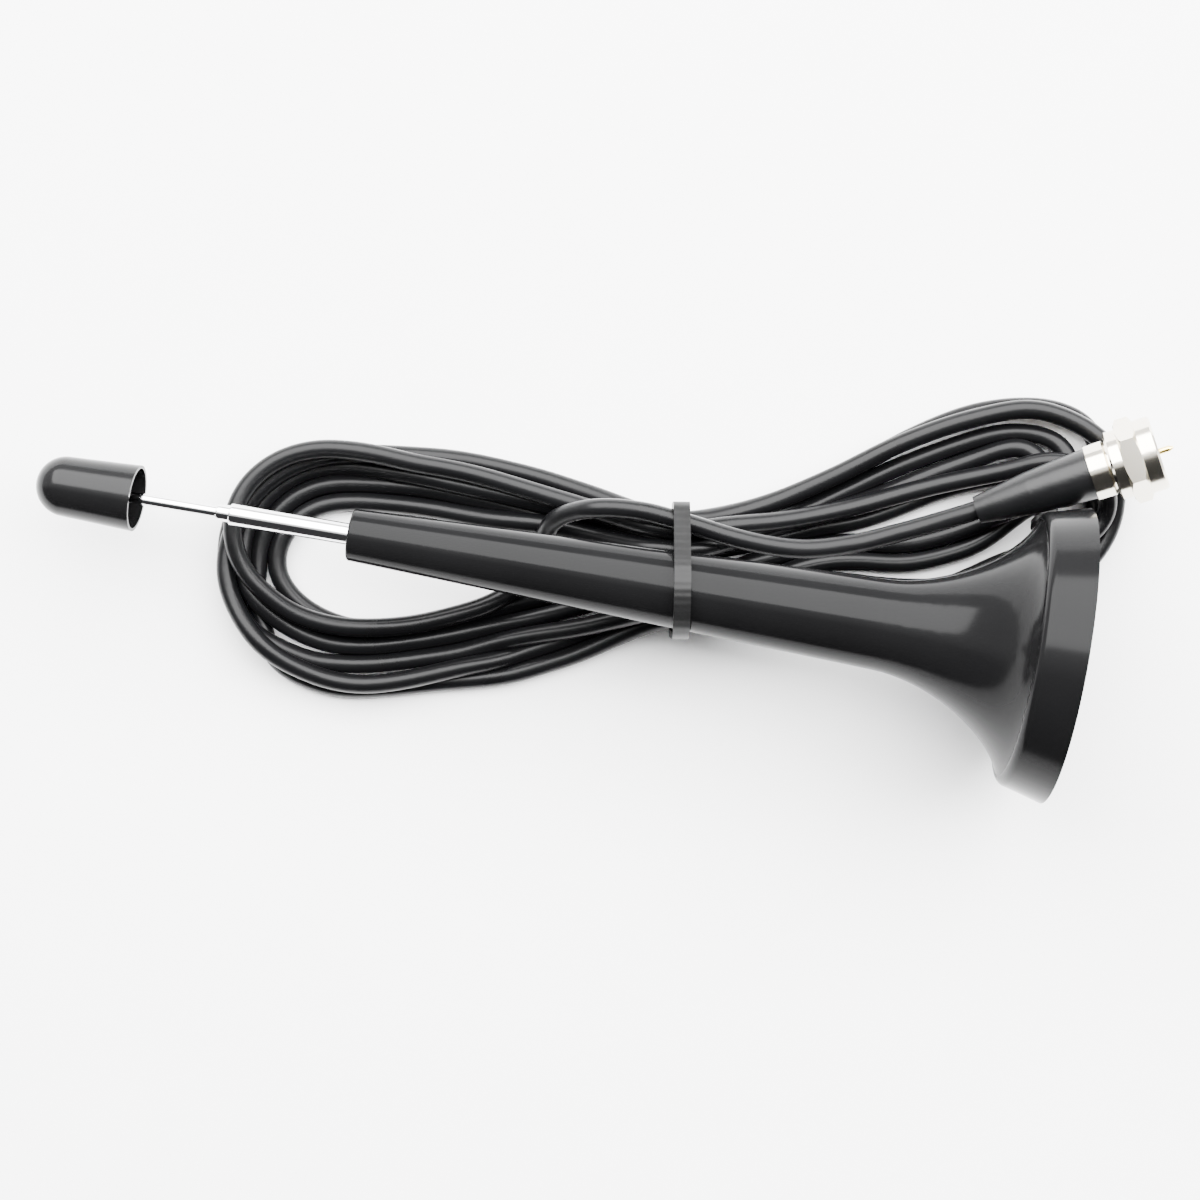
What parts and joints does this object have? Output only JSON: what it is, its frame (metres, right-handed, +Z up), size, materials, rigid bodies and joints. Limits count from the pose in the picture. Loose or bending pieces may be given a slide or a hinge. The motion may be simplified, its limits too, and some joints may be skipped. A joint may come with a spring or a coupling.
{
  "type": "omnidirectional antenna",
  "caption": "Indoor whip antenna with a trumpet-shaped magnetic base, telescopic rod, domed cap and a tied hank of coaxial cable ending in a screw-on plug.",
  "frame": {"origin": "on the surface that the antenna lies on, under the middle of the antenna's length and width, cable and plug left out", "axes": "+X along the antenna from the cap to the base, +Z up from the surface, +Y to the side where the cable's plug lies"},
  "size_m": [0.1634, 0.0619, 0.0431],
  "materials": {
    "housing": "high gloss moulded black",
    "cover": "fine textured moulded black",
    "pad": "closed-cell foam, matt",
    "screw_steel": "zinc plated",
    "magnet": "sintered ferrite, dull",
    "plate_steel": "plain zinc plated",
    "insulator": "natural white",
    "brass": "turned",
    "copper": "tinned copper strands",
    "chrome": "bright drawn tube",
    "cable": "satin black jacket",
    "grommet": "satin black",
    "cap": "high gloss moulded black",
    "boot": "satin black shrink sleeve",
    "nickel": "bright nickel plate, slightly warm",
    "gold": "gold plate",
    "tie": "satin nylon, dark grey"
  },
  "bodies": {
    "antenna": {"housing": "housing", "bottom_cover": "cover", "cover_screws": "screw_steel", "base_pad": "pad", "magnet": "magnet", "backing_plate": "plate_steel", "socket_insulator": "insulator", "tube_socket": "brass", "solder_tag": "brass", "inner_cable": "cable", "core_lead": "copper", "braid_lead": "copper", "cable_grommet": "grommet", "guide_bush": "cover", "outer_tube": "chrome", "plug_boot": "boot", "plug_ferrule": "nickel", "plug_body": "nickel", "plug_insulator": "insulator", "centre_pin": "gold", "cable_tail": "cable", "cable_lead": "cable", "cable_hank": "cable", "cable_tie": "tie"},
    "section_1": {"tube_1": "chrome", "sleeve_1": "brass"},
    "section_2": {"tube_2": "chrome", "sleeve_2": "brass"},
    "tip_section": {"tip_rod": "chrome", "sleeve_3": "brass", "cap": "cap"},
    "nut": {"coupling_nut": "nickel"}
  },
  "joints": [
    {"name": "telescope_1", "type": "slide", "parent": "antenna", "child": "section_1", "axis": [-0.999, 0, -0.0436], "range_m": [-0.0165, 0.065]},
    {"name": "telescope_2", "type": "slide", "parent": "section_1", "child": "section_2", "axis": [-0.999, 0, -0.0436], "range_m": [-0.0012, 0.082]},
    {"name": "telescope_3", "type": "slide", "parent": "section_2", "child": "tip_section", "axis": [-0.999, 0, -0.0436], "range_m": [-0.0213, 0.064]},
    {"name": "nut_spin", "type": "hinge", "parent": "antenna", "child": "nut", "pos_m": [0.08133, 0.02988, 0.01945], "axis": [0.8595, 0.4493, 0.2436], "continuous": true}
  ]
}
